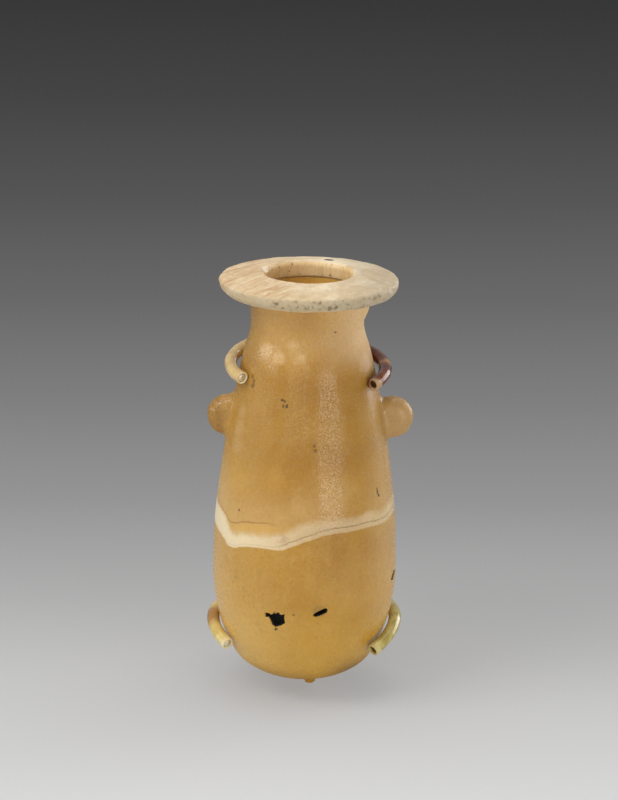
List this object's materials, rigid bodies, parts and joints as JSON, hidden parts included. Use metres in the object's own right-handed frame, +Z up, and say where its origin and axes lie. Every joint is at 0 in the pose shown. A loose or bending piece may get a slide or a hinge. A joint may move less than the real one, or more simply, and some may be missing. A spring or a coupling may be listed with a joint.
{
  "type": "alabastron in a wall holder",
  "caption": "Slim stone oil flask with a round base, flat rim disc and small lugs, gripped by swinging tubing-covered hooks on a slim bar with a wall pin.",
  "frame": {"origin": "on the stem's axis, where the stem's shoulder meets the wall", "axes": "+Z up along the vessel, +Y along the stem into the wall, so the front faces -Y; +X to the right as seen from the front"},
  "size_m": [0.0609, 0.1003, 0.1304],
  "materials": {
    "honey_stone": "worn polish",
    "cream_stone": "satin",
    "lime_cement": "matt",
    "holder_brass": "brushed",
    "screw_steel": "satin",
    "cream_tubing": "gloss",
    "brown_tubing": "gloss",
    "yellow_tubing": "gloss",
    "olive_tubing": "gloss",
    "grey_felt": "felt"
  },
  "bodies": {
    "holder": {"body": "honey_stone", "rim_disc": "cream_stone", "rim_bedding": "lime_cement", "spine": "holder_brass", "upper_block": "holder_brass", "lower_block": "holder_brass", "upper_pad": "grey_felt", "lower_pad": "grey_felt", "stem": "holder_brass", "stem_screw": "screw_steel", "block_screws": "screw_steel", "grub_screws": "screw_steel"},
    "upper_left_hook": {"upper_left_prong": "holder_brass", "upper_left_sleeve": "cream_tubing"},
    "upper_right_hook": {"upper_right_prong": "holder_brass", "upper_right_sleeve": "brown_tubing"},
    "lower_left_hook": {"lower_left_prong": "holder_brass", "lower_left_sleeve": "yellow_tubing"},
    "lower_right_hook": {"lower_right_prong": "holder_brass", "lower_right_sleeve": "olive_tubing"}
  },
  "joints": [
    {"name": "upper_left_swing", "type": "hinge", "parent": "holder", "child": "upper_left_hook", "pos_m": [-0.007, -0.01905, 0.0434], "axis": [0, 0, -1], "range_deg": [0, 75]},
    {"name": "upper_right_swing", "type": "hinge", "parent": "holder", "child": "upper_right_hook", "pos_m": [0.007, -0.01905, 0.0434], "axis": [0, 0, 1], "range_deg": [0, 75]},
    {"name": "lower_left_swing", "type": "hinge", "parent": "holder", "child": "lower_left_hook", "pos_m": [-0.009, -0.0162, -0.041], "axis": [0, 0, -1], "range_deg": [0, 75]},
    {"name": "lower_right_swing", "type": "hinge", "parent": "holder", "child": "lower_right_hook", "pos_m": [0.009, -0.0162, -0.041], "axis": [0, 0, 1], "range_deg": [0, 75]}
  ]
}
